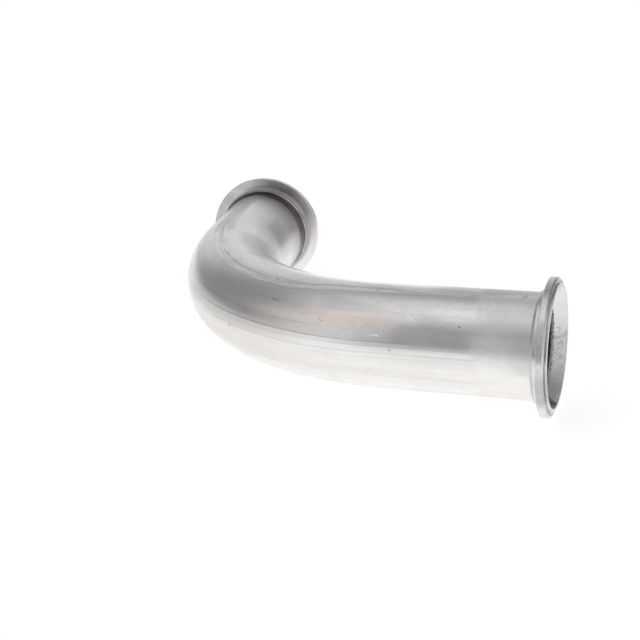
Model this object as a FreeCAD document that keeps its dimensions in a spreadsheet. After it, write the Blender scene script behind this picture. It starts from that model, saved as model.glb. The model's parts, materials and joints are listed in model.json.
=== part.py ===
# Intermediate exhaust pipe: one bent tube with a clamp flange welded on at each mouth.
# Millimetres. The origin is the centre of the front mouth, +Z is up, and the front arm runs along X.
# The pipe lies as it comes to rest, on both flange rims and on the underside of its bend.
import FreeCAD, Part
import math
import os
import Sketcher

OUT = "parts"

# The ends of a sketch's lines and arcs, and the sketch's own axes.
START, END, CENTRE = range(1, 4)
ALONG, ACROSS = range(-1, -3, -1)
ON_AXIS = "0"

# Driving sizes: each is set by itself.
# The straights run from the bend to the nose of each flange, and the rim stands up from the hub.
SIZES = {
    "tube_diameter": 76.1,
    "tube_wall": 2.5,
    "bend_radius": 172.0,
    "bend_angle": 83.3,
    "front_straight": 128.5,
    "rear_straight": 88.0,
    "cone_rise": 6.45,
    "cone_depth": 8.8,
    "land_width": 0.6,
    "socket_length": 1.5,
    "seat_clearance": 0.1,
    "nose_width": 3.1,
    "nose_height": 1.5,
    "rim_height": 8.85,
    "rim_width": 5.6,
    "rim_chamfer": 1.2,
    "edge_break": 0.3,
    "hub_thickness": 2.1,
    "bead_size": 2.1,
}

# Sizes that follow from the driving ones. Angles are in degrees, and depths are measured from a nose.
# rear_x and rear_y are the centre of the rear mouth, in the plane of the bend.
# line_x and line_y run from one rim's back edge to the other's: the pipe tips about that line
# until the bend touches the floor, and tip_reach is the bend's distance from it.
FOLLOWING = {
    "tube_radius": "tube_diameter / 2",
    "bore_radius": "tube_radius - tube_wall",
    "mouth_radius": "bore_radius + cone_rise",
    "nose_radius": "mouth_radius + nose_width",
    "seat_radius": "tube_radius + seat_clearance",
    "seat_depth": "cone_depth + land_width",
    "hub_radius": "seat_radius + hub_thickness",
    "hub_back": "seat_depth + socket_length",
    "rim_radius": "hub_radius + rim_height",
    "rim_back": "nose_height + rim_width",
    "rear_turn": "180 - bend_angle",
    "bend_end_x": "-front_straight - bend_radius * sin(bend_angle)",
    "bend_end_y": "bend_radius * (1 - cos(bend_angle))",
    "rear_x": "bend_end_x - rear_straight * cos(bend_angle)",
    "rear_y": "bend_end_y + rear_straight * sin(bend_angle)",
    "line_x": "rear_x + rim_back * (1 + cos(bend_angle))",
    "line_y": "rear_y - rim_back * sin(bend_angle)",
    "line_length": "sqrt(line_x * line_x + line_y * line_y)",
    "tip_inset": "line_y * (front_straight - rim_back) + line_x * bend_radius",
    "tip_reach": "bend_radius + tip_inset / line_length",
    "rest_tilt": "asin((rim_radius - tube_radius) / tip_reach)",
}

LYING = "placement(vector(0; 0; 0); rotation(vector(sizes.line_x; sizes.line_y; 0); -sizes.rest_tilt))"
AT_REAR = "placement(vector(sizes.rear_x; sizes.rear_y; 0); rotation(vector(0; 0; 1); sizes.rear_turn))"


def fill_sheet(doc):
    sheet = doc.addObject("Spreadsheet::Sheet", "sizes")
    rows = [(name, str(value)) for name, value in SIZES.items()]
    rows += [(name, "=" + formula) for name, formula in FOLLOWING.items()]
    for row, (name, text) in enumerate(rows, start=1):
        sheet.set(f"A{row}", name)
        sheet.set(f"B{row}", text)
        sheet.setAlias(f"B{row}", name)
        doc.recompute()


def add_body(doc, label, placement):
    body = doc.addObject("PartDesign::Body", label)
    body.Label = label
    body.setExpression("Placement", placement)
    return body


def add_sketch(body, name, role):
    plane = next(f for f in body.Origin.OriginFeatures if f.Role == role)
    sketch = body.newObject("Sketcher::SketchObject", f"{body.Label}_{name}")
    sketch.AttachmentSupport = [(plane, "")]
    sketch.MapMode = "FlatFace"
    return sketch


def value_of(sketch, formula):
    """What a formula of the sheet's sizes comes to."""
    return float(sketch.evalExpression(formula))


def place_of(sketch, corner):
    """Where a corner is that is given as a pair of formulas."""
    return FreeCAD.Vector(value_of(sketch, corner[0]), value_of(sketch, corner[1]), 0)


def bind(sketch, constraint, formula):
    index = sketch.addConstraint(constraint)
    sketch.setExpression(f"Constraints[{index}]", formula)


def bind_point(sketch, line, end, corner):
    """Tie one end of a line to a corner, measured from the sketch's origin."""
    here = place_of(sketch, corner)
    for kind, axis, formula, size in (("DistanceX", ACROSS, corner[0], here.x),
                                      ("DistanceY", ALONG, corner[1], here.y)):
        if formula == ON_AXIS:
            sketch.addConstraint(Sketcher.Constraint("PointOnObject", line, end, axis))
        else:
            bind(sketch, Sketcher.Constraint(kind, ALONG, START, line, end, size), formula)


def add_line(sketch, start, end):
    return sketch.addGeometry(Part.LineSegment(place_of(sketch, start), place_of(sketch, end)))


def join(sketch, first, first_end, second, second_end):
    sketch.addConstraint(Sketcher.Constraint("Coincident", first, first_end, second, second_end))


def add_outline(sketch, corners):
    """A closed outline of straight lines through the corners, each tied to the sizes."""
    lines = [add_line(sketch, start, end) for start, end in zip(corners, corners[1:] + corners[:1])]
    for line, following in zip(lines, lines[1:] + lines[:1]):
        join(sketch, line, END, following, START)
    for line, corner in zip(lines, corners):
        bind_point(sketch, line, START, corner)


def turn_about_mouth(body, section):
    """Revolve a section once about the mouth's axis, the section's horizontal axis."""
    turned = body.newObject("PartDesign::Revolution", section.Label + "_turned")
    turned.Profile = section
    turned.ReferenceAxis = (section, ["H_Axis"])
    turned.Angle = 360


def make_tube(doc):
    """One tube along a straight run, a bend and a second straight run, between the two sockets."""
    body = add_body(doc, "bent_tube", LYING)

    path = add_sketch(body, "path", "XY_Plane")
    front_end = ("-sizes.seat_depth", ON_AXIS)
    bend_start = ("-sizes.front_straight", ON_AXIS)
    centre = place_of(path, ("-sizes.front_straight", "sizes.bend_radius"))
    radius = value_of(path, "sizes.bend_radius")
    below = math.radians(270)
    turn = math.radians(value_of(path, "sizes.bend_angle"))
    circle = Part.Circle(centre, FreeCAD.Vector(0, 0, 1), radius)
    front_run = add_line(path, front_end, bend_start)
    bend = path.addGeometry(Part.ArcOfCircle(circle, below - turn, below))
    rear_run = add_line(path, ("sizes.bend_end_x", "sizes.bend_end_y"), ("sizes.rear_x", "sizes.rear_y"))
    bind_point(path, front_run, START, front_end)
    bind_point(path, front_run, END, bend_start)
    path.addConstraint(Sketcher.Constraint("Tangent", front_run, END, bend, END))
    path.addConstraint(Sketcher.Constraint("Tangent", bend, START, rear_run, START))
    bind(path, Sketcher.Constraint("Radius", bend, radius), "sizes.bend_radius")
    bind(path, Sketcher.Constraint("Angle", bend, turn), "sizes.bend_angle")
    rear_length = "sizes.rear_straight - sizes.seat_depth"
    bind(path, Sketcher.Constraint("Distance", rear_run, value_of(path, rear_length)), rear_length)

    section = add_sketch(body, "section", "YZ_Plane")
    section.setExpression("AttachmentOffset.Base.z", "-sizes.seat_depth")
    for radius in ("sizes.tube_radius", "sizes.bore_radius"):
        size = value_of(section, radius)
        ring = section.addGeometry(Part.Circle(FreeCAD.Vector(), FreeCAD.Vector(0, 0, 1), size))
        join(section, ring, CENTRE, ALONG, START)
        bind(section, Sketcher.Constraint("Radius", ring, size), radius)

    swept = body.newObject("PartDesign::AdditivePipe", "bent_tube_swept")
    swept.Profile = section
    swept.Spine = path
    return body


def make_flange(doc, label, placement):
    """A turned ring: a nose with a cone inside it, a thick rim, and a hub with a socket for the tube."""
    body = add_body(doc, label, placement)
    section = add_sketch(body, "section", "XY_Plane")
    add_outline(section, [
        (ON_AXIS, "sizes.mouth_radius"),
        (ON_AXIS, "sizes.nose_radius"),
        ("-sizes.nose_height", "sizes.nose_radius"),
        ("-sizes.nose_height", "sizes.rim_radius - sizes.rim_chamfer"),
        ("-sizes.nose_height - sizes.rim_chamfer", "sizes.rim_radius"),
        ("-sizes.rim_back + sizes.edge_break", "sizes.rim_radius"),
        ("-sizes.rim_back", "sizes.rim_radius - sizes.edge_break"),
        ("-sizes.rim_back", "sizes.hub_radius"),
        ("-sizes.hub_back", "sizes.hub_radius"),
        ("-sizes.hub_back", "sizes.seat_radius"),
        ("-sizes.seat_depth", "sizes.seat_radius"),
        ("-sizes.seat_depth", "sizes.bore_radius"),
        ("-sizes.cone_depth", "sizes.bore_radius"),
    ])
    turn_about_mouth(body, section)
    return body


def make_weld(doc, label, placement):
    """A quarter-round fillet bead in the corner between the hub's back end and the tube."""
    body = add_body(doc, label, placement)
    section = add_sketch(body, "section", "XY_Plane")
    corner = ("-sizes.hub_back", "sizes.tube_radius")
    crown = ("-sizes.hub_back", "sizes.tube_radius + sizes.bead_size")
    toe = ("-sizes.hub_back - sizes.bead_size", "sizes.tube_radius")
    on_tube = add_line(section, toe, corner)
    on_hub = add_line(section, corner, crown)
    size = value_of(section, "sizes.bead_size")
    circle = Part.Circle(place_of(section, corner), FreeCAD.Vector(0, 0, 1), size)
    face = section.addGeometry(Part.ArcOfCircle(circle, math.radians(90), math.radians(180)))
    join(section, on_tube, END, on_hub, START)
    join(section, on_hub, END, face, START)
    join(section, face, END, on_tube, START)
    bind_point(section, on_tube, START, toe)
    bind_point(section, on_tube, END, corner)
    bind_point(section, on_hub, END, crown)
    bind(section, Sketcher.Constraint("Radius", face, size), "sizes.bead_size")
    turn_about_mouth(body, section)
    return body


def check(doc, bodies):
    for item in doc.Objects:
        if {"Invalid", "Error"} & set(item.State):
            raise RuntimeError(f"{item.Label} did not compute: {item.State}")
    for body in bodies:
        if body.Shape.isNull() or not body.Shape.isValid():
            raise RuntimeError(f"{body.Label} has no valid shape")


def main():
    doc = FreeCAD.newDocument("exhaust_pipe")
    fill_sheet(doc)
    bodies = [make_tube(doc)]
    places = {"front": "bent_tube.Placement", "rear": "bent_tube.Placement * " + AT_REAR}
    for end, placement in places.items():
        bodies.append(make_flange(doc, end + "_flange", placement))
        bodies.append(make_weld(doc, end + "_weld", placement))
    doc.recompute()
    check(doc, bodies)
    os.makedirs(OUT, exist_ok=True)
    for body in bodies:
        body.Shape.exportStep(os.path.join(OUT, body.Label + ".step"))


main()
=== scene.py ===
"""Looks of the intermediate exhaust pipe.

Each piece is made on a straight pipe, as a body turned about the pipe's axis, and is then bent with it.
A place on the straight pipe is (rise, out, station): station is the distance from the front mouth along
the axis, rise points to the top of the pipe as it lies, and out to the outside of the bend. Every mesh
keeps that place in its attribute "straight", so the grain, marks and tints of its material follow the
bend. Angles round the pipe are counted from the top, towards the outside of the bend.
Lengths are in metres and angles in degrees, except where a comment says millimetres.
"""
import json
import math

import bpy
import numpy as np
from mathutils import Matrix, Vector


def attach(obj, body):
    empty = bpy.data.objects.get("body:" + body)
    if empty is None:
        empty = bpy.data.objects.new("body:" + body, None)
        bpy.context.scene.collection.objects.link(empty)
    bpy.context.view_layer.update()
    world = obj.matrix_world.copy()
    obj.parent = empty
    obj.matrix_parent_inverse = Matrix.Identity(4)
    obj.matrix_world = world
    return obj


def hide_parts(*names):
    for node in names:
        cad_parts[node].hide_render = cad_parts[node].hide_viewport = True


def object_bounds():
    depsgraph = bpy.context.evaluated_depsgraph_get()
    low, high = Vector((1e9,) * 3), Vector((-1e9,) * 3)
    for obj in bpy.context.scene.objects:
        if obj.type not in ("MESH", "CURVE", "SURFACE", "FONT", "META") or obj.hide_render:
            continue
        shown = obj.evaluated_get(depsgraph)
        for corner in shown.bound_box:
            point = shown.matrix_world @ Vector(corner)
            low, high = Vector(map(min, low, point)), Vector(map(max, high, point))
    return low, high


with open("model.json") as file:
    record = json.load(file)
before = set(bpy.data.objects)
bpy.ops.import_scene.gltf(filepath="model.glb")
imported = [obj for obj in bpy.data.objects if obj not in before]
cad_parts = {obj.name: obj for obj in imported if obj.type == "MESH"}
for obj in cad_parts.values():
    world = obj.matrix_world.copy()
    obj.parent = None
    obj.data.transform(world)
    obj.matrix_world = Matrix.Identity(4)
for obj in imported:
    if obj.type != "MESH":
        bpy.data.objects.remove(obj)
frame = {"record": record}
CAD_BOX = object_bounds()
MOUNTS = {mount["name"]: mount for mount in frame["record"]["mounts"]}

MM = 0.001
TINY = 1e-9

# The solids' own sizes, in millimetres as they are drawn.
TUBE_RADIUS = 38.05 * MM
BORE_RADIUS = 35.55 * MM
BEND_RADIUS = 172.0 * MM
FRONT_STRAIGHT = 128.5 * MM
REAR_STRAIGHT = 88.0 * MM
MOUTH_RADIUS = 42.0 * MM
NOSE_RADIUS = 45.1 * MM
NOSE_HEIGHT = 1.5 * MM
RIM_RADIUS = 49.1 * MM
RIM_CHAMFER = 1.2 * MM
RIM_BACK = 7.1 * MM
HUB_RADIUS = 40.25 * MM
HUB_BACK = 10.9 * MM
CONE_DEPTH = 8.8 * MM
SEAT_DEPTH = 9.4 * MM
SEAT_RADIUS = 38.15 * MM
BEAD = 2.1 * MM
# The solids are faceted, so a truly round piece keeps this much inside their radius.
FACET_SAG = 0.05 * MM

# The plane of the bend, from the two mouths' axes.
FRONT_OUT = np.array(MOUNTS["front_mouth"]["axis"])
REAR_OUT = np.array(MOUNTS["rear_mouth"]["axis"])
FRONT_MOUTH = np.array(MOUNTS["front_mouth"]["pos_m"])
RISE = np.cross(FRONT_OUT, REAR_OUT)
RISE /= np.linalg.norm(RISE)
INWARD = np.cross(RISE, FRONT_OUT)
BEND = math.acos(-float(FRONT_OUT @ REAR_OUT))
BEND_LENGTH = BEND_RADIUS * BEND
LENGTH = FRONT_STRAIGHT + BEND_LENGTH + REAR_STRAIGHT
BEND_CENTRE = FRONT_MOUTH - FRONT_STRAIGHT * FRONT_OUT + BEND_RADIUS * INWARD
REAR_TOE = LENGTH - HUB_BACK - BEAD


def axis_at(station):
    """The axis's place, its outward side and its direction at each station."""
    turned = np.clip((station - FRONT_STRAIGHT) / BEND_RADIUS, 0, BEND)[..., None]
    out = -np.sin(turned) * FRONT_OUT - np.cos(turned) * INWARD
    along = -np.cos(turned) * FRONT_OUT + np.sin(turned) * INWARD
    past = station - np.clip(station, FRONT_STRAIGHT, FRONT_STRAIGHT + BEND_LENGTH)
    return BEND_CENTRE + BEND_RADIUS * out + past[..., None] * along, out, along


def bend_points(straight):
    """Places of the straight pipe, carried to where the bent pipe has them."""
    centre, out, _ = axis_at(straight[..., 2])
    return centre + straight[..., :1] * RISE + straight[..., 1:2] * out


def bend_directions(straight, directions):
    """Directions at places of the straight pipe, turned as the bend turns them."""
    _, out, along = axis_at(straight[..., 2])
    return directions[..., :1] * RISE + directions[..., 1:2] * out + directions[..., 2:] * along


def set_vectors(mesh, name, vectors):
    attribute = mesh.attributes.new(name, "FLOAT_VECTOR", "POINT")
    attribute.data.foreach_set("vector", vectors.astype(np.float32).ravel())


def runs_clockwise(profile):
    ahead = np.roll(profile, -1, axis=0)
    return np.sum(profile[:, 0] * ahead[:, 1] - ahead[:, 0] * profile[:, 1]) < 0


def turned_piece(node, profile, columns, shape=None, inner_rows=0):
    """A closed profile of (station, radius) turned about the axis, bent, and put in a CAD node's place.

    The faces of the profile's last rows, the inner ones, take the piece's second material.
    """
    angle = np.linspace(0, 2 * math.pi, columns, endpoint=False)
    station, radius = (np.repeat(part[:, None], columns, axis=1) for part in profile.T)
    if shape is not None:
        station, radius = shape(station, radius, np.broadcast_to(angle, radius.shape))
    straight = np.stack([radius * np.cos(angle), radius * np.sin(angle), station], axis=-1)
    step = np.roll(straight, -1, axis=0) - np.roll(straight, 1, axis=0)
    step /= np.maximum(np.linalg.norm(step, axis=-1, keepdims=True), TINY)
    around = np.stack([-np.sin(angle), np.cos(angle), np.zeros(columns)], axis=-1)
    around = np.broadcast_to(around, straight.shape)

    index = np.arange(straight[..., 0].size).reshape(station.shape)
    beside = np.roll(index, -1, axis=1)
    corners = (index, beside, np.roll(beside, -1, axis=0), np.roll(index, -1, axis=0))
    faces = np.stack(corners, axis=-1).reshape(-1, 4)
    if runs_clockwise(profile):
        faces = faces[:, ::-1]
    mesh = bpy.data.meshes.new(node)
    mesh.from_pydata(bend_points(straight).reshape(-1, 3).tolist(), [], faces.tolist())
    mesh.shade_smooth()
    second = np.zeros(index.shape, np.int32)
    second[len(profile) - inner_rows:] = 1
    mesh.polygons.foreach_set("material_index", second.ravel())
    set_vectors(mesh, "straight", straight)
    set_vectors(mesh, "around", bend_directions(straight, around))
    set_vectors(mesh, "across", bend_directions(straight, step))
    piece = bpy.data.objects.new(node + "_looks", mesh)
    bpy.context.scene.collection.objects.link(piece)
    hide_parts(node)
    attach(piece, "root")
    return piece


def rounded(corners, steps=5, support=0.12 * MM):
    """A closed outline of (depth, radius, fillet) corners with its corners rounded.

    A point close beside each fillet keeps the flats flat when they are shaded smooth.
    """
    places = np.array([corner[:2] for corner in corners])
    outline = []
    for place, before, after, (_, _, fillet) in zip(
            places, np.roll(places, 1, axis=0), np.roll(places, -1, axis=0), corners):
        back = (before - place) / np.linalg.norm(before - place)
        ahead = (after - place) / np.linalg.norm(after - place)
        half = math.acos(float(np.clip(back @ ahead, -1, 1))) / 2
        reach = fillet / math.tan(half)
        middle = (back + ahead) / np.linalg.norm(back + ahead)
        centre = place + middle * fillet / math.sin(half)
        start, end = place + back * reach - centre, place + ahead * reach - centre
        outline.append(place + back * (reach + support))
        sweep = math.pi - 2 * half
        for step in range(steps + 1):
            share = step / steps
            weights = (math.sin((1 - share) * sweep), math.sin(share * sweep))
            outline.append(centre + (weights[0] * start + weights[1] * end) / math.sin(sweep))
        outline.append(place + ahead * (reach + support))
    return np.array(outline)


def at_end(profile, end):
    """A profile of depths behind a mouth, as stations of the whole pipe."""
    if end == "front":
        return profile
    return np.stack([LENGTH - profile[:, 0], profile[:, 1]], axis=-1)[::-1]


# Meshes

TUBE_COLUMNS = 176
TUBE_STEP = 2.0 * MM
RING_COLUMNS = 224
EDGE = 0.22 * MM
CREASE = 0.1 * MM


def make_tube():
    rows = int((LENGTH - 2 * SEAT_DEPTH) / TUBE_STEP)
    station = np.linspace(SEAT_DEPTH, LENGTH - SEAT_DEPTH, rows)
    outer = np.stack([station, np.full(rows, TUBE_RADIUS - FACET_SAG)], axis=-1)
    inner = np.stack([station[::-1], np.full(rows, BORE_RADIUS)], axis=-1)
    profile = np.concatenate([outer, inner])
    return turned_piece("bent_tube", profile, TUBE_COLUMNS, inner_rows=rows)


FLANGE_OUTLINE = (
    (0, MOUTH_RADIUS, EDGE),
    (0, NOSE_RADIUS, 2 * EDGE),
    (NOSE_HEIGHT, NOSE_RADIUS, CREASE),
    (NOSE_HEIGHT, RIM_RADIUS - RIM_CHAMFER, 2 * EDGE),
    (NOSE_HEIGHT + RIM_CHAMFER, RIM_RADIUS - FACET_SAG, 2 * EDGE),
    (RIM_BACK, RIM_RADIUS - FACET_SAG, 2 * EDGE),
    (RIM_BACK, HUB_RADIUS, 3 * EDGE),
    (HUB_BACK, HUB_RADIUS, EDGE),
    (HUB_BACK, SEAT_RADIUS, CREASE),
    (SEAT_DEPTH, SEAT_RADIUS, CREASE),
    (SEAT_DEPTH, BORE_RADIUS, CREASE),
    (CONE_DEPTH, BORE_RADIUS, EDGE),
)


def make_flange(end):
    return turned_piece(end + "_flange", at_end(rounded(FLANGE_OUTLINE), end), RING_COLUMNS)


BEAD_COLUMNS = 720
BEAD_POINTS = 13
BEAD_SINK = 0.3 * MM
# The bead keeps a little inside its solid. Its ripples lean along the seam by a share of their pitch.
BEAD_FULLNESS = 0.93
BEAD_RIPPLES = 128
RIPPLE_HEIGHT = 0.05
RIPPLE_LEAN = 0.35
# An uneven hand: a share of the bead's size, waves round the bead and a phase.
UNEVENNESS = ((0.03, 7, 1.0), (0.024, 17, 2.3))


def make_weld(end):
    """A fillet bead laid in overlapping ripples that lean along the seam, its corner sunk in the steel."""
    turn = np.radians(np.linspace(0, 90, BEAD_POINTS))
    face = np.stack([np.cos(turn), np.sin(turn)], axis=-1)
    corner = np.array([HUB_BACK, TUBE_RADIUS])
    crown = corner + BEAD * face
    profile = np.concatenate([crown, corner[None] - (0, BEAD_SINK)])

    def ripple(station, radius, angle):
        depth = station if end == "front" else LENGTH - station
        rise, run = radius - TUBE_RADIUS, depth - HUB_BACK
        size = np.hypot(rise, run)
        lean = RIPPLE_LEAN * np.sin(2 * np.arctan2(rise, np.maximum(run, TINY)))
        phase = (angle * BEAD_RIPPLES / (2 * math.pi) + lean) % 1
        factor = BEAD_FULLNESS - RIPPLE_HEIGHT * phase ** 2
        for share, waves, start in UNEVENNESS:
            factor = factor + share * np.sin(waves * angle + start)
        factor = np.where(size > BEAD / 2, np.minimum(factor, 1), 1)
        depth = HUB_BACK + run * factor
        return (depth if end == "front" else LENGTH - depth), TUBE_RADIUS + rise * factor

    return turned_piece(end + "_weld", at_end(profile, end), BEAD_COLUMNS, ripple)


# Shader helpers: a value is a number, a vector, a colour or another node's output.

# The Mix node repeats its sockets for each kind of value: share, first, second and result.
MIX_SOCKETS = {"FLOAT": (0, 2, 3, 0), "RGBA": (0, 6, 7, 2)}
# A noise varies about this level, mostly by up to 0.2 to either side. Marks are picked out of it with ease,
# between two levels that stand beside the noise in the call.
NOISE_MIDDLE = 0.5


class Paint:
    """The node tree of a material or a world, built one call a node."""

    def __init__(self, owner):
        owner.use_nodes = True
        self.owner = owner
        self.tree = owner.node_tree

    def put(self, socket, value):
        if isinstance(value, bpy.types.NodeSocket):
            self.tree.links.new(value, socket)
        elif value is not None:
            socket.default_value = value

    def node(self, kind, values=(), **settings):
        made = self.tree.nodes.new("ShaderNode" + kind)
        for name, setting in settings.items():
            setattr(made, name, setting)
        for socket, value in (values.items() if isinstance(values, dict) else enumerate(values)):
            self.put(made.inputs[socket], value)
        return made

    def math(self, operation, *values, clamp=False):
        return self.node("Math", values, operation=operation, use_clamp=clamp).outputs[0]

    def plus(self, first, second):
        return self.math("ADD", first, second)

    def minus(self, first, second):
        return self.math("SUBTRACT", first, second)

    def times(self, first, *others):
        for other in others:
            first = self.math("MULTIPLY", first, other)
        return first

    def largest(self, first, *others):
        for other in others:
            first = self.math("MAXIMUM", first, other)
        return first

    def vector(self, operation, *values):
        made = self.node("VectorMath", values, operation=operation)
        return made.outputs["Value" if operation in ("LENGTH", "DOT_PRODUCT") else "Vector"]

    def scaled(self, vector, share):
        return self.node("VectorMath", {0: vector, "Scale": share}, operation="SCALE").outputs[0]

    def join(self, *parts):
        return self.node("CombineXYZ", parts).outputs[0]

    def attribute(self, name):
        return self.node("Attribute", attribute_name=name).outputs["Vector"]

    def noise(self, place, scale, detail=3.0, roughness=0.55, distortion=0.0):
        values = {"Vector": place, "Scale": scale, "Detail": detail, "Roughness": roughness,
                  "Distortion": distortion}
        return self.node("TexNoise", values).outputs["Fac"]

    def ease(self, value, low, high, start=0.0, end=1.0):
        """Start below low, end above high, and a smooth step between them."""
        values = {"Value": value, "From Min": low, "From Max": high, "To Min": start, "To Max": end}
        return self.node("MapRange", values, interpolation_type="SMOOTHSTEP").outputs["Result"]

    def between(self, value, low, high, soft, outside=0.0, inside=1.0):
        """Inside between low and high, turning to outside over a soft margin beyond them."""
        share = self.times(self.ease(value, low - soft, low), self.ease(value, high, high + soft, 1.0, 0.0))
        return self.blend(share, outside, inside)

    def wander(self, value, noise, reach):
        """A value that strays with a noise, by half the reach to either side."""
        return self.plus(value, self.times(self.minus(noise, NOISE_MIDDLE), reach))

    def mixed(self, kind, *values):
        made = self.node("Mix", data_type=kind)
        *inputs, result = MIX_SOCKETS[kind]
        for socket, value in zip(inputs, values):
            self.put(made.inputs[socket], value)
        return made.outputs[result]

    def mix(self, share, first, second):
        return self.mixed("RGBA", share, first, second)

    def blend(self, share, first, second):
        return self.mixed("FLOAT", share, first, second)

    def coat(self, base, *coats):
        """A colour with (share, colour) coats laid over it in turn."""
        for share, colour in coats:
            base = self.mix(share, base, colour)
        return base

    def bump(self, height, strength, distance, normal=None, invert=False):
        values = {"Height": height, "Strength": strength, "Distance": distance, "Normal": normal}
        return self.node("Bump", values, invert=invert).outputs["Normal"]

    def dent(self, depth, strength, distance, normal=None):
        return self.bump(depth, strength, distance, normal, invert=True)

    def seen_rays(self):
        """1 for what the camera sees, by itself or in the steel, and 0 for light on the object."""
        path = self.node("LightPath").outputs
        return self.largest(path["Is Camera Ray"], path["Is Glossy Ray"], path["Is Transmission Ray"])

    def finish(self, **sockets):
        shader = self.tree.nodes["Principled BSDF"]
        for name, value in sockets.items():
            self.put(shader.inputs[name.replace("_", " ").title()], value)
        return self.owner


class PipePaint(Paint):
    """A material of the pipe, with the place on the straight pipe, its station, angle and radius."""

    def __init__(self, name):
        super().__init__(bpy.data.materials.new(name))
        self.straight = self.attribute("straight")
        rise, out, self.station = self.node("SeparateXYZ", [self.straight]).outputs
        self.angle = self.math("DEGREES", self.math("ARCTAN2", out, rise))
        self.radius = self.vector("LENGTH", self.join(rise, out))

    def drawn(self, stretch, scale, **settings):
        """A noise drawn out along the pipe: the smaller the stretch, the longer its streaks."""
        return self.noise(self.vector("MULTIPLY", self.straight, (1, 1, stretch)), scale, **settings)


def grey(level, warmth=0.0):
    """A nearly grey colour, warm for a positive warmth and cool for a negative one."""
    return (level * (1 + warmth), level, level * (1 - warmth), 1)


WHITE = grey(1.0)

# The tube's steel
# A range is its first and last value and the soft margin beyond them. Some also give the shares outside it
# and inside.

STEEL_COOL, STEEL_WARM = (0.885, 0.857, 0.872, 1), (0.915, 0.885, 0.882, 1)
# The underside's lighter steel, with the angles where it lies, is painted light: it stands in for the white
# floor that the underside mirrors.
STEEL_LIT_BELOW, BLOTCH_GREY = (0.945, 0.928, 0.908, 1), (0.79, 0.764, 0.762, 1)
STREAK_GREY, MOTTLE_GREY = grey(0.7, 0.008), grey(0.66, 0.015)
LIT_BELOW_ANGLES = (88.0, 172.0, 14.0)
MOTTLE_ANGLES = (84.0, 176.0, 14.0, 0.34, 0.1)
BLOTCH_SHARE, STREAK_SHARE = 0.4, 0.35
# The front end of the tube is left unbrushed.
BRUSHED_EDGE = (50.0 * MM, 55.0 * MM)
UNBRUSHED_STREAKS = 0.3
# How far the edges of patches and tints stray.
STRAY_STATION, STRAY_ANGLE = 36.0 * MM, 16.0

# Strokes on the tube, each from one place to another: (station in mm, angle) twice, a width in mm and a
# depth.
BRIGHT_STROKES = (
    ((94.5, 51.0), (99.5, 43.0), 0.6, 1.0),
    ((118.5, 68.7), (124.5, 68.1), 0.6, 1.0),
    ((72.0, 38.0), (77.0, 39.5), 0.25, 0.5),
    ((150.0, 62.0), (153.0, 60.5), 0.3, 0.5),
)
DARK_STROKES = (
    ((61.2, 53.7), (61.9, 53.5), 0.7, 0.8),
    ((73.0, 54.4), (73.6, 54.2), 0.6, 0.55),
    ((109.6, 83.0), (110.2, 83.2), 0.65, 0.7),
    ((191.0, 45.4), (196.5, 44.8), 1.0, 0.36),
    ((204.0, 17.5), (206.0, 18.4), 0.9, 0.6),
    ((194.0, 117.5), (196.5, 120.5), 0.9, 0.3),
    ((229.0, 89.5), (231.0, 90.5), 1.0, 0.35),
    ((33.0, 92.0), (33.4, 92.4), 0.6, 0.35),
    ((20.5, 4.0), (22.5, 9.0), 1.6, 0.3),
    ((24.0, 3.0), (25.0, 5.0), 1.0, 0.2),
    ((158.5, 56.2), (156.3, 58.8), 0.55, 0.4),
)
STROKE_CORE = 0.3
STROKE_BLACK = grey(0.1, 0.06)
# How far the open flank of a bright stroke tips the surface: down, to the white floor.
SCRATCH_FLANK = (0.0, 0.0, -0.8)

# Lines left by the bender's die. The upper one wanders: its angle at stations in mm.
UPPER_LINE = (
    (0, 8), (60, 8), (140, 7), (176, 14), (205, 17.5), (240, 16.8), (290, 14), (352, 10), (420, 6),
)
UPPER_STATIONS = (120.0 * MM, 408.0 * MM, 20.0 * MM)
UPPER_WIDTH = 1.8
# A bright band was pressed in this many degrees below it, and a fainter line lies as far below the band.
BAND_BELOW, BAND_WIDTH, BAND_WANDER = 5.0, 4.4, 3.0
BAND_STATIONS = (120.0 * MM, 338.0 * MM, 24.0 * MM)
SECOND_WIDTH, SECOND_DEPTH = 2.4, 0.35
# Flecks and scores beside the upper line, in degrees below it.
SCUFFED = (-4.0, 6.0, 4.0)
SCORE_DEPTH = 0.6
# The lower lines keep their angle: angle, first and last station in mm, width in degrees, depth.
LOWER_LINES = (
    (75.5, 104.0, 262.0, 1.8, 0.9),
    (87.5, 56.0, 244.0, 1.7, 0.55),
    (116.0, 62.0, 205.0, 1.5, 0.5),
    (64.0, 172.0, 292.0, 1.8, 0.4),
    (80.5, 56.0, 250.0, 1.3, 0.24),
    (92.5, 60.0, 250.0, 0.9, 0.24),
    (104.0, 90.0, 230.0, 0.8, 0.3),
    (5.0, 54.0, 150.0, 1.0, 0.4),
    (13.0, 50.0, 146.0, 1.0, 0.45),
)
LOWER_SOFT, LOWER_WANDER = 14.0 * MM, 2.0
LINE_GREY, LINE_SHARE, BAND_SHARE = grey(0.36, 0.03), 0.5, 0.8
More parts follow.
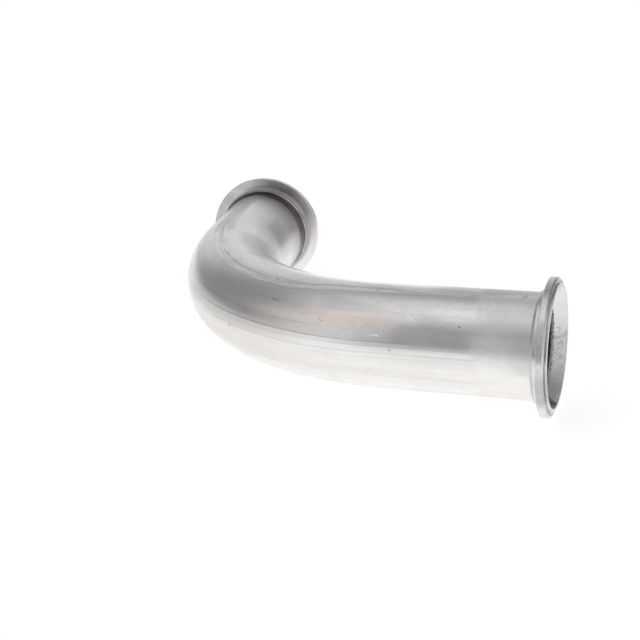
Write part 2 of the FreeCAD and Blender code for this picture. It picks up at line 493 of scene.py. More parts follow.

# Patches of another colour, darker, lighter, peach or sandy: first and last station in mm, first and last
# angle, colour and depth. The peach patches and the lighter ones marked below are painted highlights.
DARKER_PATCH, LIGHTER_PATCH = (0.30, 0.292, 0.292, 1), (1.0, 0.985, 0.99, 1)
PEACH_HIGHLIGHT, SANDY = (0.98, 0.83, 0.75, 1), (0.66, 0.62, 0.57, 1)
PATCHES = (
    (64.0, 102.0, 62.0, 72.0, DARKER_PATCH, 0.45),
    (350.0, 420.0, 2.0, 18.0, DARKER_PATCH, 0.5),
    (398.0, 430.0, 6.0, 40.0, DARKER_PATCH, 0.3),
    (388.0, 396.0, -58.0, -48.0, DARKER_PATCH, 0.25),
    (16.0, 80.0, -8.0, 2.0, DARKER_PATCH, 0.42),
    (16.0, 80.0, 51.0, 60.0, DARKER_PATCH, 0.22),
    (16.0, 22.0, 62.0, 96.0, DARKER_PATCH, 0.22),
    (134.0, 150.0, 30.0, 40.0, DARKER_PATCH, 0.26),
    (258.0, 322.0, -44.0, -14.0, DARKER_PATCH, 0.42),
    (330.0, 390.0, -70.0, -50.0, DARKER_PATCH, 0.2),
    (232.0, 258.0, -22.0, -10.0, DARKER_PATCH, 0.3),
    # The next three are painted highlights, white and peach.
    (134.0, 160.0, 56.0, 80.0, LIGHTER_PATCH, 0.9),
    (128.0, 160.0, 50.0, 57.0, PEACH_HIGHLIGHT, 0.7),
    (172.0, 200.0, 60.0, 68.0, PEACH_HIGHLIGHT, 0.35),
    (60.0, 180.0, 86.0, 120.0, SANDY, 0.12),
    # A painted highlight.
    (52.0, 66.0, 36.0, 42.0, LIGHTER_PATCH, 0.7),
    (20.0, 240.0, 10.0, 24.0, LIGHTER_PATCH, 0.8),
)
# These run round the bend and fade out over a longer way.
BEND_PATCHES = (
    (218.0, 268.0, 68.0, 82.0, DARKER_PATCH, 0.5),
    (214.0, 262.0, 84.0, 120.0, SANDY, 0.4),
    (334.0, 363.0, 26.0, 80.0, LIGHTER_PATCH, 0.9),
)
# The inside of the bend, painted lighter as a painted highlight and given smoother steel, and the smeared
# top of the front arm: first and last station in mm, first and last angle.
SHEEN_PATCH, SHEEN_STEEL = (112.0, 196.0, -80.0, -12.0), grey(0.97, 0.004)
SMEARED, SMEAR_GREY = (50.0, 128.0, -10.0, 12.0), (0.40, 0.385, 0.375, 1)
SMEAR_SHARE = 0.42
# How softly each kind of patch ends: in mm along the tube, and in degrees round it.
PATCH_SOFT, BEND_SOFT = (20.0, 10.0), (54.0, 10.0)
SHEEN_SOFT, SMEARED_SOFT = (46.0, 12.0), (24.0, 8.0)

# The rear arm is painted darker towards its weld: a painted reflection of the rear flange's dark back.
FLANGE_REFLECTION_FROM, FLANGE_REFLECTION_WANDER = 392.0 * MM, 16.0 * MM
FLANGE_REFLECTION_GREY, FLANGE_REFLECTION_SHARE = grey(0.3, 0.02), 0.8
# Painted reflection of the rear flange's back on the tube by the rear weld, in brown and dark greys, each
# layer over the one before: distances from the weld's toe in mm between which a layer comes in, first and
# last angle, colour and depth.
FLANGE_REFLECTION_TINTS = (
    (21.0, 14.0, -180.0, 180.0, (0.42, 0.37, 0.33, 1), 0.34),
    (24.0, 13.0, -120.0, -52.0, (0.20, 0.18, 0.17, 1), 0.5),
    (7.0, 3.0, -180.0, 180.0, (0.22, 0.19, 0.175, 1), 0.55),
)
REFLECTION_SOFT_ANGLE = 26.0
REFLECTION_WANDER = 0.9 * MM
# The darkest part of that painted reflection is a ring that runs at a slant: its edges in mm before the
# weld's toe at the top, the slant in mm a degree, and its angles.
RING_EDGES = (8.4, -0.5)
RING_SLANT = 0.07
RING_ANGLES = (-92.0, 34.0, 20.0)
RING_SOFT, RING_WANDER = 1.5 * MM, 3.0 * MM
# Its layers, the brown margin first: how far each reaches beyond the ring, its colour and its depth.
RING_LAYERS = (
    (1.3 * MM, (0.22, 0.18, 0.165, 1), 0.7),
    (0.0, (0.075, 0.066, 0.066, 1), 0.92),
)

# Roughness of the drawn steel, what its streaks, mottling, bare end and scratches change in it, and that of
# the painted highlight inside the bend.
SATIN_ROUGHNESS = (0.29, 0.37)
STREAK_ROUGHNESS, MOTTLE_ROUGHNESS = 0.14, 0.1
UNBRUSHED_ROUGHNESS, SCRATCH_SMOOTHNESS = 0.1, 0.03
SHEEN_ROUGHNESS = 0.2
# Relief: how deep the grain and the die's marks go, and how much each part counts in that.
GRAIN_RELIEF, DIE_RELIEF = 0.03 * MM, 0.12 * MM
GRAIN_HEIGHT, STREAK_HEIGHT = 0.35, 0.65
BAND_PRESSED, FLECKS_PRESSED, STROKES_PROUD = 3.0, 1.2, 2.0


class TubePaint(PipePaint):
    """The tube's material, with the noises that its colour, roughness and relief share."""

    def __init__(self, name):
        super().__init__(name)
        self.brushed = self.ease(self.station, *BRUSHED_EDGE)
        self.grain = self.drawn(0.02, 1400, detail=3, roughness=0.65)
        streaks = self.drawn(0.03, 260, detail=4, roughness=0.6)
        self.streaks = self.blend(self.blend(self.brushed, UNBRUSHED_STREAKS, 1.0), NOISE_MIDDLE, streaks)
        self.broad = self.drawn(0.06, 60, detail=2, roughness=0.5)
        self.scratches = self.ease(self.drawn(0.012, 700, detail=1, distortion=0.4), 0.66, 0.74)
        self.clouds = self.drawn(1, 22, detail=3)
        self.mottle = self.drawn(0.6, 420, detail=4, roughness=0.7)
        self.blotches = self.drawn(0.5, 110, detail=4, roughness=0.65)
        self.loose_station = self.wander(self.station, self.drawn(1, 30, detail=3), STRAY_STATION)
        self.loose_angle = self.wander(self.angle, self.drawn(0.5, 34, detail=3), STRAY_ANGLE)

    def patch(self, first, last, low, high, softness):
        """1 in a patch of the tube with straying edges: stations in mm, angles, and how softly it ends."""
        soft_station, soft_angle = softness
        lengthways = self.between(self.loose_station, first * MM, last * MM, soft_station * MM)
        return self.times(lengthways, self.between(self.loose_angle, low, high, soft_angle))

    def line_at(self, angle, centre, width):
        """1 on a line at an angle round the tube and 0 a width away from it."""
        return self.ease(self.math("ABSOLUTE", self.minus(angle, centre)), 0.0, width, 1.0, 0.0)

    def strokes(self, marks):
        """The depth along each stroke and 0 a width away from it, on the unrolled tube."""
        place = self.join(self.station, self.times(self.angle, math.radians(1) * TUBE_RADIUS))
        depths = []
        for *ends, width, depth in marks:
            first, last = (Vector((station * MM, math.radians(angle) * TUBE_RADIUS, 0))
                           for station, angle in ends)
            reach = last - first
            from_start = self.vector("SUBTRACT", place, first)
            along = self.vector("DOT_PRODUCT", from_start, reach)
            share = self.math("DIVIDE", along, reach.length_squared, clamp=True)
            aside = self.vector("SUBTRACT", from_start, self.scaled(reach, share))
            distance = self.vector("LENGTH", aside)
            depths.append(self.ease(distance, STROKE_CORE * width * MM, width * MM, depth, 0.0))
        return self.largest(*depths)

    def curve(self, points):
        """A smooth curve through (station in mm, value) points along the tube."""
        last, top = points[-1][0], max(y for _, y in points)
        made = self.node("FloatCurve", {"Value": self.math("DIVIDE", self.station, last * MM)})
        line = made.mapping.curves[0]
        for x, y in points[1:-1]:
            line.points.new(x / last, y / top)
        line.points[0].location = (0, points[0][1] / top)
        line.points[-1].location = (1, points[-1][1] / top)
        made.mapping.update()
        return self.times(made.outputs[0], top)


def die_marks(paint):
    """The dark lines that the bender's die left, its bright band, and the flecks scuffed beside that."""
    upper = paint.curve(UPPER_LINE)
    below = paint.minus(paint.angle, upper)
    worn = paint.ease(paint.drawn(0.1, 120, detail=2), 0.3, 0.6, 0.35, 1.0)
    reach = paint.times(paint.between(paint.station, *UPPER_STATIONS), worn)
    fresh = paint.between(paint.station, *BAND_STATIONS)
    scuffed = paint.times(paint.between(below, *SCUFFED), fresh)

    scores = paint.ease(paint.drawn(0.05, 640, detail=3, distortion=0.3), 0.5, 0.62)
    on_underside = paint.minus(180.0, upper)
    lines = [
        paint.times(paint.line_at(below, 0.0, UPPER_WIDTH), reach),
        paint.times(paint.line_at(below, 2 * BAND_BELOW, SECOND_WIDTH), reach, SECOND_DEPTH),
        paint.times(paint.line_at(paint.angle, on_underside, UPPER_WIDTH), reach),
        paint.times(scores, scuffed, SCORE_DEPTH),
    ]
    unsteady = paint.wander(paint.angle, paint.clouds, LOWER_WANDER)
    for centre, first, last, width, depth in LOWER_LINES:
        span = paint.between(paint.station, first * MM, last * MM, LOWER_SOFT)
        lines.append(paint.times(paint.line_at(unsteady, centre, width), span, depth, worn))

    ragged = paint.ease(paint.drawn(0.16, 380, detail=4, roughness=0.65), 0.36, 0.62, 0.15, 1.0)
    band = paint.line_at(paint.wander(below, paint.clouds, BAND_WANDER), BAND_BELOW, BAND_WIDTH)
    flecks = paint.ease(paint.drawn(0.08, 520, detail=3), 0.48, 0.62)
    return paint.largest(*lines), paint.times(band, fresh, ragged), paint.times(flecks, scuffed)


def worn_steel(paint, sheen):
    """The tube's colour before the painted reflection by the rear weld: clouded steel, painted lighter
    underneath and inside the bend, with patches, some of them painted highlights, streaks, smears and
    mottling.
    """
    base = paint.mix(paint.ease(paint.clouds, 0.3, 0.7), STEEL_COOL, STEEL_WARM)
    # The underside is painted lighter, as painted light from the white floor.
    base = paint.coat(base, (paint.between(paint.angle, *LIT_BELOW_ANGLES), STEEL_LIT_BELOW),
                      (paint.ease(paint.blotches, 0.4, 0.7, 0.0, BLOTCH_SHARE), BLOTCH_GREY))
    for patches, softness in ((PATCHES, PATCH_SOFT), (BEND_PATCHES, BEND_SOFT)):
        for *place, colour, depth in patches:
            base = paint.mix(paint.times(paint.patch(*place, softness), depth), base, colour)
    streaked = paint.times(paint.ease(paint.streaks, 0.35, 0.75), paint.brushed, STREAK_SHARE)
    smears = paint.ease(paint.drawn(0.08, 190, detail=4, roughness=0.65), 0.48, 0.62, 0.0, SMEAR_SHARE)
    mottled = paint.times(paint.ease(paint.mottle, 0.42, 0.72), paint.between(paint.angle, *MOTTLE_ANGLES))
    return paint.coat(base, (sheen, SHEEN_STEEL), (streaked, STREAK_GREY),
                      (paint.times(paint.patch(*SMEARED, SMEARED_SOFT), smears), SMEAR_GREY),
                      (mottled, MOTTLE_GREY))


def add_flange_reflection(paint, base):
    """The painted reflection of the rear flange's dark back on the tube by the rear weld, over a colour."""
    reflection_fade = paint.ease(paint.wander(paint.station, paint.clouds, FLANGE_REFLECTION_WANDER), FLANGE_REFLECTION_FROM, REAR_TOE)
    base = paint.mix(paint.times(reflection_fade, FLANGE_REFLECTION_SHARE), base, FLANGE_REFLECTION_GREY)
    near_weld = paint.wander(paint.station, paint.mottle, REFLECTION_WANDER)
    for start, end, low, high, colour, depth in FLANGE_REFLECTION_TINTS:
        reflected = paint.ease(near_weld, REAR_TOE - start * MM, REAR_TOE - end * MM, 0.0, depth)
        sector = paint.between(paint.loose_angle, low, high, REFLECTION_SOFT_ANGLE)
        base = paint.mix(paint.times(reflected, sector), base, colour)

    ragged = paint.wander(near_weld, paint.clouds, RING_WANDER)
    slanted = paint.minus(ragged, paint.times(paint.angle, RING_SLANT * MM))
    first, last = (REAR_TOE - edge * MM for edge in RING_EDGES)
    uneven = paint.ease(paint.blotches, 0.36, 0.62, 1.0, 0.84)
    sector = paint.times(paint.between(paint.loose_angle, *RING_ANGLES), uneven)
    for margin, colour, depth in RING_LAYERS:
        ring = paint.between(slanted, first - margin, last, RING_SOFT, 0.0, depth)
        base = paint.mix(paint.times(ring, sector), base, colour)
    return base


def tube_roughness(paint, sheen):
    rough = paint.blend(paint.ease(paint.broad, 0.3, 0.7), *SATIN_ROUGHNESS)
    rough = paint.wander(rough, paint.streaks, STREAK_ROUGHNESS)
    rough = paint.wander(rough, paint.mottle, MOTTLE_ROUGHNESS)
    rough = paint.plus(rough, paint.times(paint.minus(1.0, paint.brushed), UNBRUSHED_ROUGHNESS))
    rough = paint.minus(rough, paint.times(paint.scratches, SCRATCH_SMOOTHNESS))
    return paint.blend(sheen, rough, SHEEN_ROUGHNESS)


def tube_relief(paint, lines, band, flecks, dark, bright):
    """The grain, the die's band pressed in with its lines left proud, and the open flanks of scratches."""
    grain = paint.plus(paint.times(paint.grain, GRAIN_HEIGHT), paint.times(paint.streaks, STREAK_HEIGHT))
    normal = paint.dent(grain, strength=0.3, distance=GRAIN_RELIEF)
    pressed = paint.plus(paint.times(band, BAND_PRESSED), paint.times(flecks, FLECKS_PRESSED))
    proud = paint.plus(lines, paint.times(dark, STROKES_PROUD))
    normal = paint.dent(paint.minus(pressed, proud), strength=0.7, distance=DIE_RELIEF, normal=normal)
    return paint.vector("NORMALIZE", paint.vector("ADD", normal, paint.scaled(SCRATCH_FLANK, bright)))


def tube_steel():
    """Satin drawn stainless with a lengthways grain, the bender's die lines, tints, small scratches and
    painted light: a lighter underside, highlights and the rear flange's reflection.
    """
    paint = TubePaint("tube_steel")
    lines, band, flecks = die_marks(paint)
    dark, bright = paint.strokes(DARK_STROKES), paint.strokes(BRIGHT_STROKES)
    sheen = paint.patch(*SHEEN_PATCH, SHEEN_SOFT)
    base = paint.coat(add_flange_reflection(paint, worn_steel(paint, sheen)),
                      (paint.times(lines, LINE_SHARE), LINE_GREY),
                      (paint.times(paint.largest(band, flecks), BAND_SHARE), WHITE),
                      (dark, STROKE_BLACK),
                      (bright, WHITE))
    return paint.finish(base_color=base, metallic=1.0, roughness=tube_roughness(paint, sheen),
                        normal=tube_relief(paint, lines, band, flecks, dark, bright),
                        anisotropic=0.2, tangent=paint.attribute("around"))


# The bore

SOOT, OXIDE, BARE_STEEL = grey(0.018, 0.1), (0.085, 0.07, 0.06, 1), grey(0.16, 0.05)
# Crumbs of the front cone's cake reach into the bore.
CRUMB_GREY, CRUMB_WANDER = (0.55, 0.53, 0.54, 1), 5.0 * MM
CRUMB_DEPTHS = (SEAT_DEPTH + 0.8 * MM, SEAT_DEPTH + 1.8 * MM)
CRUMB_ANGLES = (-150.0, -20.0, 12.0)
SOOT_RELIEF, SOOT_GRAIN_HEIGHT = 0.3 * MM, 0.4


def bore_soot():
    """The bore: dry black soot, thin enough for brown oxide and a little steel to show."""
    paint = PipePaint("bore_soot")
    patches = paint.drawn(0.4, 120, detail=4, roughness=0.65)
    grains = paint.noise(paint.straight, 1600, detail=3, roughness=0.7)
    ragged = paint.wander(paint.station, grains, CRUMB_WANDER)
    crumbs = paint.times(paint.ease(ragged, *CRUMB_DEPTHS, 1.0, 0.0),
                         paint.between(paint.angle, *CRUMB_ANGLES))
    base = paint.coat(paint.mix(paint.ease(patches, 0.35, 0.75), SOOT, OXIDE),
                      (paint.ease(grains, 0.6, 0.8, 0.0, 0.5), BARE_STEEL),
                      (crumbs, CRUMB_GREY))
    rugged = paint.plus(patches, paint.times(grains, SOOT_GRAIN_HEIGHT))
    normal = paint.dent(rugged, strength=0.6, distance=SOOT_RELIEF)
    return paint.finish(base_color=base, metallic=0.2, roughness=0.75, normal=normal)


# The flanges
# Depths are measured from each flange's own mouth, and ranges are written as for the tube.

TURNED_DARK, TURNED_LIGHT = (0.76, 0.738, 0.745, 1), (0.90, 0.876, 0.88, 1)
# How far the turned rings and the shorter arcs stray with the angle, in metres a degree.
RING_DRIFT, ARC_DRIFT = 0.00002, 0.0001
# The marks of working are fainter on the inside of the bend.
WORKED_ANGLES = (-66.0, 180.0, 24.0, 0.35, 1.0)
BROAD_GREY, ARC_GREY = grey(0.6, 0.015), grey(0.44, 0.03)
CLOUD_GREY, SPECK_GREY = (0.60, 0.575, 0.56, 1), grey(0.4, 0.05)
SPECK_SHARE = 0.5

# The rear flange's back, seen past the tube: a smudge and a stain by the weld, a side painted lighter as a
# painted highlight, and a side painted darker.
SMUDGE_ANGLES, SMUDGE_RADII = (-44.0, -10.0, 14.0), (41.0 * MM, 45.5 * MM, 1.5 * MM)
SMUDGE_BROWN, SMUDGE_SHARE = (0.40, 0.31, 0.29, 1), 0.5
STAIN_ANGLES, STAIN_DEPTHS = (-50.0, -12.0, 28.0), (6.5 * MM, 8.0 * MM, 0.8 * MM)
STAIN_BROWN, STAIN_SHARE = (0.36, 0.325, 0.31, 1), 0.25
BACK_SHEEN_ANGLES, BACK_SHEEN, BACK_SHEEN_SHARE = (-160.0, -52.0, 18.0), (0.97, 0.95, 0.955, 1), 0.8
REAR_DARKER_ANGLES = (50.0, 120.0, 40.0)
DARKER_GREY, DARKER_SHARE = grey(0.42, 0.01), 0.6
# A collar is painted round the foot of that back in a darker grey, as painted shade, with a painted dark
# line of shade along its edge.
COLLAR_RADIUS, COLLAR_EDGE = 42.4 * MM, 0.2 * MM
COLLAR_ANGLES, COLLAR_SHADE_GREY, COLLAR_SHARE = (-150.0, 12.0, 24.0), (0.60, 0.575, 0.57, 1), 0.75
SEAM_RADII, SEAM_ANGLES = (COLLAR_RADIUS, COLLAR_RADIUS, 0.45 * MM), (-64.0, 16.0, 24.0)
SEAM_SHADE_GREY, SEAM_SHARE = grey(0.3, 0.04), 0.6
BACK_DEPTHS = (RIM_BACK - 0.6 * MM, RIM_BACK - 0.2 * MM)

# The front rim is darker at its top and low on its outer side.
FRONT_LOW_ANGLES, FRONT_TOP_ANGLES = (98.0, 116.0, 14.0), (-70.0, 2.0, 12.0, 0.0, 0.6)
# Painted shade at the foot of each nose and in the corner of each rim and hub, and a faint grey on each
# mating face.
FOOT_RADII, FOOT_DEPTHS = (45.3 * MM, 47.2 * MM, 0.3 * MM), (1.2 * MM, 1.7 * MM, 0.3 * MM)
FOOT_ANGLES, FOOT_SHADE = (76.0, 106.0, 14.0, 0.45, 0.85), grey(0.12, 0.05)
CORNER_RADII, CORNER_DEPTHS = (40.0 * MM, 40.8 * MM, 0.5 * MM), (6.8 * MM, 7.5 * MM, 0.4 * MM)
CORNER_ANGLES, CORNER_SHADE = (54.0, 80.0, 10.0, 0.3, 0.7), grey(0.2, 0.05)
FACE_RADII, FACE_DEPTHS = (42.2 * MM, 44.6 * MM, 0.4 * MM), (0.1 * MM, 0.4 * MM)
FACE_GREY, FACE_SHARE = grey(0.7, 0.01), 0.35

# Deposits on the front cone follow each other down the inside of the bend: cream at the top, then flakes
# and ash. Angles are counted down from the top, and a deposit gives way to the next between its two.
CREAM, FLAKES, ASH = (0.83, 0.815, 0.79, 1), (0.97, 0.945, 0.97, 1), (0.66, 0.64, 0.66, 1)
CREAM_ENDS, FLAKES_END = (68.0, 100.0), (112.0, 158.0)
CAKE_WANDER = 26.0
FLAKE_SHADE, FLAKE_SHADE_SHARE = (0.60, 0.58, 0.61, 1), 0.75
LUMP_GREY, LUMPS_COME = (0.85, 0.83, 0.86, 1), (100.0, 130.0)
FLAKE_SLANT, FLAKE_STRETCH = (math.radians(35), 0.0, math.radians(20)), (1.0, 0.35, 1.0)
# The rest of that cone and the whole rear one have an old dark crust.
CRUST_DARK, CRUST_LIGHT, CRUST_PITS = (0.13, 0.12, 0.115, 1), (0.46, 0.44, 0.43, 1), grey(0.08, 0.08)
OLD_SIDE = (-24.0, -6.0)
# Both end in soot at the bore, and fade out just past the mouth's edge.
CONE_SOOT, SOOT_DEPTHS, SOOT_WANDER = grey(0.02, 0.08), (8.6 * MM, 9.6 * MM), 6.0 * MM
CAKE_EDGE = (MOUTH_RADIUS + 0.15 * MM, MOUTH_RADIUS + 0.5 * MM)
CONE_SLOPE = (MOUTH_RADIUS - BORE_RADIUS) / CONE_DEPTH
# Relief: how deep the rings and the cake go, and how much each part counts in that.
TURNED_RELIEF, CAKE_RELIEF = 0.03 * MM, 0.5 * MM
BROAD_HEIGHT, CRUST_HEIGHT, FLAKE_HEIGHT, CREAM_HEIGHT = 0.6, 0.7, 0.6, 0.12
TURNED_ROUGHNESS, CAKE_ROUGHNESS, CAKE_DULLNESS = (0.28, 0.4), 0.5, 0.4


class FlangePaint(PipePaint):
    """Both flanges' material, with the noises that its colour, roughness and relief share."""

    def __init__(self, name):
        super().__init__(name)
        self.depth = self.math("MINIMUM", self.station, self.minus(LENGTH, self.station))
        self.at_rear = self.math("GREATER_THAN", self.station, LENGTH / 2)
        ring_section, arc_section = (self.join(self.radius, self.depth, self.times(self.angle, drift))
                                     for drift in (RING_DRIFT, ARC_DRIFT))
        self.rings = self.noise(ring_section, 2000, detail=3, roughness=0.7)
        self.broad = self.noise(ring_section, 640, detail=2, roughness=0.5)
        self.arcs = self.noise(arc_section, 1500, detail=3, roughness=0.65)
        self.clouds = self.noise(self.straight, 70, detail=4, roughness=0.6)
        self.specks = self.noise(self.straight, 700, detail=3, roughness=0.6)


def turned_colour(paint):
    """Fine turned rings, broader bands and arcs, clouds and specks."""
    base = paint.mix(paint.ease(paint.rings, 0.3, 0.7), TURNED_DARK, TURNED_LIGHT)
    worked = paint.between(paint.angle, *WORKED_ANGLES)
    return paint.coat(
        base,
        (paint.times(paint.ease(paint.broad, 0.42, 0.68, 0.0, 0.45), worked), BROAD_GREY),
        (paint.times(paint.ease(paint.arcs, 0.52, 0.7, 0.0, 0.6), worked), ARC_GREY),
        (paint.times(paint.ease(paint.clouds, 0.5, 0.72, 0.0, 0.4), worked), CLOUD_GREY),
        (paint.ease(paint.specks, 0.66, 0.74, 0.0, SPECK_SHARE), SPECK_GREY))


def add_rear_marks(paint, base):
    """What only the rear flange shows, over a colour."""
    at_rear = paint.at_rear

    def sector(angles):
        return paint.between(paint.angle, *angles)

    smudge = paint.times(sector(SMUDGE_ANGLES), paint.between(paint.radius, *SMUDGE_RADII), at_rear,
                         paint.ease(paint.specks, 0.36, 0.6))
    stain = paint.times(sector(STAIN_ANGLES), paint.between(paint.depth, *STAIN_DEPTHS), at_rear,
                        paint.ease(paint.clouds, 0.3, 0.6, 0.4, 1.0))
    back = paint.times(paint.ease(paint.depth, *BACK_DEPTHS), at_rear)
    collar = paint.ease(paint.radius, COLLAR_RADIUS - COLLAR_EDGE, COLLAR_RADIUS, 1.0, 0.0)
    seam = paint.between(paint.radius, *SEAM_RADII)
    return paint.coat(
        base,
        (paint.times(smudge, SMUDGE_SHARE), SMUDGE_BROWN),
        (paint.times(stain, STAIN_SHARE), STAIN_BROWN),
        (paint.times(sector(BACK_SHEEN_ANGLES), at_rear, BACK_SHEEN_SHARE), BACK_SHEEN),
        (paint.times(sector(REAR_DARKER_ANGLES), at_rear, DARKER_SHARE), DARKER_GREY),
        # The painted collar and the line along its edge are painted shade.
        (paint.times(collar, back, sector(COLLAR_ANGLES), COLLAR_SHARE), COLLAR_SHADE_GREY),
        (paint.times(seam, back, sector(SEAM_ANGLES), SEAM_SHARE), SEAM_SHADE_GREY))


def add_darker_sides_and_shade(paint, base):
    """The front rim's darker sides, painted shade at the foot of each nose and in each corner, and a faint
    grey on each mating face, over a colour.
    """
    front_darker = paint.largest(*(paint.between(paint.angle, *angles)
                                 for angles in (FRONT_LOW_ANGLES, FRONT_TOP_ANGLES)))
    front_rim = paint.math("LESS_THAN", paint.station, RIM_BACK)
    foot, corner = (
        paint.times(paint.between(paint.radius, *radii), paint.between(paint.depth, *depths),
                    paint.between(paint.angle, *angles))
        for radii, depths, angles in ((FOOT_RADII, FOOT_DEPTHS, FOOT_ANGLES),
                                      (CORNER_RADII, CORNER_DEPTHS, CORNER_ANGLES)))
    face = paint.times(paint.between(paint.radius, *FACE_RADII),
                       paint.ease(paint.depth, *FACE_DEPTHS, 1.0, 0.0))
    return paint.coat(
        base,
        (paint.times(front_darker, front_rim, DARKER_SHARE), DARKER_GREY),
        (foot, FOOT_SHADE),
        (corner, CORNER_SHADE),
        (paint.times(face, FACE_SHARE), FACE_GREY))


def cone_cake(paint):
    """What is caked on the cones: where, its colour, its relief and where it is rough."""
    at_mouth = paint.plus(paint.radius, paint.times(paint.depth, CONE_SLOPE))
    caked = paint.ease(at_mouth, *CAKE_EDGE, 1.0, 0.0)
    crust = paint.noise(paint.straight, 700, detail=4, roughness=0.6)
    lumps = paint.noise(paint.straight, 240, detail=4, roughness=0.6)
    slant = {"Vector": paint.straight, "Rotation": FLAKE_SLANT, "Scale": FLAKE_STRETCH}
    flakes = paint.noise(paint.node("Mapping", slant).outputs[0], 420, detail=3, roughness=0.55)

    down = paint.times(paint.angle, -1.0)
    loose = paint.wander(down, lumps, CAKE_WANDER)
    flaky = paint.ease(loose, *CREAM_ENDS)
    elsewhere = paint.largest(paint.ease(down, *OLD_SIDE, 1.0, 0.0), paint.at_rear)
    old = paint.coat(paint.mix(paint.ease(lumps, 0.4, 0.62), CRUST_DARK, CRUST_LIGHT),
                     (paint.ease(crust, 0.5, 0.7, 0.0, 0.6), CRUST_PITS))
    colour = paint.coat(
        paint.mix(flaky, CREAM, FLAKES),
        (paint.times(paint.ease(flakes, 0.42, 0.66), flaky, FLAKE_SHADE_SHARE), FLAKE_SHADE),
        (paint.ease(loose, *FLAKES_END), ASH),
        (paint.times(paint.ease(lumps, 0.54, 0.64), paint.ease(loose, *LUMPS_COME)), LUMP_GREY),
        (elsewhere, old),
        (paint.ease(paint.wander(paint.depth, crust, SOOT_WANDER), *SOOT_DEPTHS), CONE_SOOT))

    rough = paint.largest(flaky, elsewhere)
    rugged = paint.plus(paint.times(crust, CRUST_HEIGHT), paint.times(flakes, FLAKE_HEIGHT))
    relief = paint.times(rugged, caked, paint.blend(rough, CREAM_HEIGHT, 1.0))
    return caked, colour, relief, paint.times(caked, rough)


def flange_steel():
    """Turned stainless with fine rings, brown stains by the weld, painted shade in its corners and by the
    rear collar, a painted highlight on the rear back, and a caked cone.
    """
    paint = FlangePaint("flange_steel")
    caked, cake, relief, dusty = cone_cake(paint)
    steel = add_darker_sides_and_shade(paint, add_rear_marks(paint, turned_colour(paint)))
    rings = paint.plus(paint.rings, paint.times(paint.broad, BROAD_HEIGHT))
    turned = paint.dent(rings, strength=0.22, distance=TURNED_RELIEF)
    rough = paint.blend(paint.ease(paint.clouds, 0.35, 0.7), *TURNED_ROUGHNESS)
    return paint.finish(base_color=paint.mix(caked, steel, cake),
                        metallic=paint.minus(1.0, paint.times(dusty, CAKE_DULLNESS)),
                        roughness=paint.blend(dusty, rough, CAKE_ROUGHNESS),
                        normal=paint.dent(relief, strength=0.8, distance=CAKE_RELIEF, normal=turned),
                        anisotropic=0.4, tangent=paint.attribute("across"))


# The welds

# A bead's dark and light steel, and the colour and depth of the lines along its two edges.
WELD_LOOKS = {
    "front": (grey(0.66, 0.01), grey(0.84, 0.005), (0.36, 0.32, 0.30, 1), 0.6),
    # The rear bead's darker greys are painted shade.
    "rear": (grey(0.36, 0.03), grey(0.54, 0.02), (0.2, 0.175, 0.16, 1), 0.7),
}
# Heights over the tube between which those lines fade, at the toe on the tube and at the crown on the hub.
TOE_LINE, CROWN_LINE = (0.15 * MM, 0.6 * MM), (1.72 * MM, 1.88 * MM)
# The rear bead is painted black near its top as painted shade, most of all low on the bead.
WELD_SHADE_ANGLES, WELD_SHADE_HEIGHTS, WELD_SHADE_SHARES = (-8.0, 45.0, 26.0), (0.9 * MM, 1.7 * MM), (0.9, 0.25)
WELD_SHADE_BLACK, GRAIN_GREY = grey(0.09, 0.06), grey(0.34, 0.05)
WELD_ROUGHNESS, WELD_RELIEF = (0.28, 0.42), 0.05 * MM


def weld_steel(end):
    """A bead as bright as the tube at the front with brown edges, and painted dark at the rear as painted
    shade.
    """
    dark, light, edge_colour, edge_share = WELD_LOOKS[end]
    paint = PipePaint(end + "_weld_steel")
    clouds = paint.noise(paint.straight, 140, detail=3, roughness=0.6)
    grains = paint.noise(paint.straight, 1500, detail=3, roughness=0.7)
    rise = paint.minus(paint.radius, TUBE_RADIUS)
    base = paint.mix(paint.ease(clouds, 0.35, 0.65), dark, light)
    if end == "rear":
        # Painted shade: black near the top of the rear bead.
        weld_shade = paint.times(paint.between(paint.angle, *WELD_SHADE_ANGLES),
                            paint.ease(rise, *WELD_SHADE_HEIGHTS, *WELD_SHADE_SHARES))
        base = paint.mix(weld_shade, base, WELD_SHADE_BLACK)
    edges = paint.largest(paint.ease(rise, *TOE_LINE, edge_share, 0.0),
                          paint.ease(rise, *CROWN_LINE, 0.0, edge_share))
    base = paint.coat(base, (edges, edge_colour), (paint.ease(grains, 0.62, 0.76, 0.0, 0.5), GRAIN_GREY))
    return paint.finish(base_color=base, metallic=1.0, roughness=paint.blend(clouds, *WELD_ROUGHNESS),
                        normal=paint.bump(grains, strength=0.3, distance=WELD_RELIEF))


def paint_piece(piece, *materials):
    for material in materials:
        piece.data.materials.append(material)


paint_piece(make_tube(), tube_steel(), bore_soot())
flange_look = flange_steel()
for end in ("front", "rear"):
    paint_piece(make_flange(end), flange_look)
    paint_piece(make_weld(end), weld_steel(end))


# Stage: a white floor, and a grey room with soft lights and a white backdrop.

FLOOR_Z = CAD_BOX[0].z
FLOOR_HALF_WIDTH = 1.6
FLOOR_FRONT, FLOOR_BACK = -0.36, 1.8
FLOOR_GREY, FLOOR_ROUGHNESS = grey(0.55), 0.9
FLOOR_GLOW = 0.75
ROOM_GREY = 0.25
# Soft lights of the room: azimuth from +Y towards +X, elevation, half width and brightness over its grey.
SOFT_LIGHTS = (
    (-137.0, 75.0, 39.0, 0.53),
    (-140.0, 62.0, 24.0, 0.08),
    (-139.0, 22.0, 38.0, 0.47),
    (-42.0, 32.0, 30.0, 0.05),
    (122.0, 26.0, 50.0, 0.6),
)
# The white backdrop behind the object, in the same terms: the camera sees it, and so does the steel.
BACKDROP = (
    (-22.0, 12.0, 44.0, 0.45),
    (-8.0, 0.0, 30.0, 0.3),
)


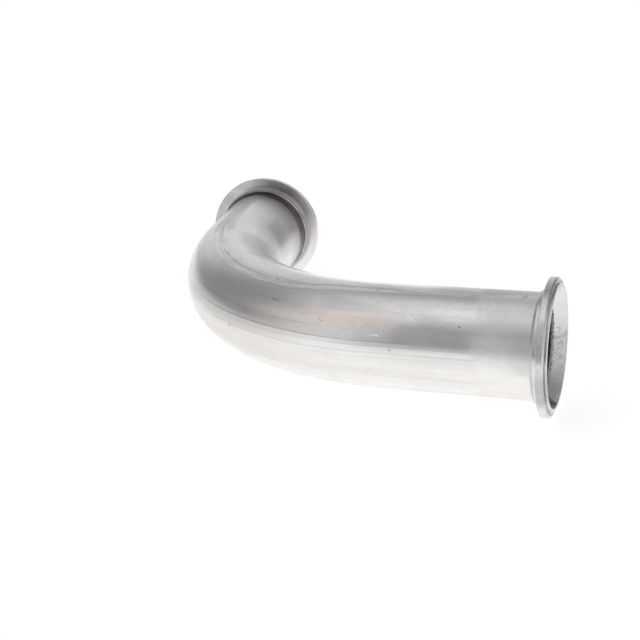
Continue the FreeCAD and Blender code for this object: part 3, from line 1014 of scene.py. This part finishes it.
def make_floor():
    """A white floor that keeps the soft shadow, as white in the steel as it is to the camera."""
    mesh = bpy.data.meshes.new("floor")
    left, right = -FLOOR_HALF_WIDTH, FLOOR_HALF_WIDTH
    edges = ((left, FLOOR_FRONT), (right, FLOOR_FRONT), (right, FLOOR_BACK), (left, FLOOR_BACK))
    mesh.from_pydata([(x, y, FLOOR_Z) for x, y in edges], [], [(0, 1, 2, 3)])
    floor = bpy.data.objects.new("floor", mesh)
    bpy.context.scene.collection.objects.link(floor)
    paint = Paint(bpy.data.materials.new("floor_white"))
    glow = paint.times(paint.seen_rays(), FLOOR_GLOW)
    material = paint.finish(base_color=FLOOR_GREY, roughness=FLOOR_ROUGHNESS, emission_color=WHITE,
                            emission_strength=glow)
    paint.put(paint.tree.nodes["Principled BSDF"].inputs["Specular IOR Level"], 0.0)
    mesh.materials.append(material)


def direction(azimuth, elevation):
    turn, lift = math.radians(azimuth), math.radians(elevation)
    return (math.sin(turn) * math.cos(lift), math.cos(turn) * math.cos(lift), math.sin(lift))


def make_world():
    """A grey room with broad soft lights, white where the camera looks past the object."""
    world = bpy.data.worlds.new("studio")
    bpy.context.scene.world = world
    paint = Paint(world)
    ray = paint.node("TexCoord").outputs["Generated"]
    level = ROOM_GREY
    for lights, share in ((SOFT_LIGHTS, 1.0), (BACKDROP, paint.seen_rays())):
        for azimuth, elevation, half_width, strength in lights:
            facing = paint.vector("DOT_PRODUCT", ray, direction(azimuth, elevation))
            glow = paint.ease(facing, math.cos(math.radians(half_width)), 1.0, 0.0, strength)
            level = paint.plus(level, paint.times(glow, share))
    by_camera = paint.node("LightPath").outputs["Is Camera Ray"]
    background = paint.tree.nodes["Background"]
    paint.put(background.inputs["Strength"], paint.blend(by_camera, level, 1.0))
    paint.put(background.inputs["Color"], WHITE)


make_floor()
make_world()

# Camera

CAMERA_PLACE = (0.1184, -0.8511, 0.2809)
CAMERA_AZIMUTH = 18.951
CAMERA_ELEVATION = 17.480
CAMERA_ROLL = 1.624
CAMERA_LENS_MM = 72.53
SENSOR_MM = 36.0


def make_camera():
    data = bpy.data.cameras.new("camera")
    data.lens = CAMERA_LENS_MM
    data.sensor_width = SENSOR_MM
    camera = bpy.data.objects.new("camera", data)
    bpy.context.scene.collection.objects.link(camera)
    camera.location = CAMERA_PLACE
    turn = Matrix.Rotation(math.radians(CAMERA_AZIMUTH), 3, "Z")
    tip = Matrix.Rotation(math.radians(90 - CAMERA_ELEVATION), 3, "X")
    roll = Matrix.Rotation(math.radians(CAMERA_ROLL), 3, "Z")
    camera.rotation_euler = (turn @ tip @ roll).to_euler()
    bpy.context.scene.camera = camera


make_camera()
bpy.context.scene.view_settings.view_transform = "Standard"
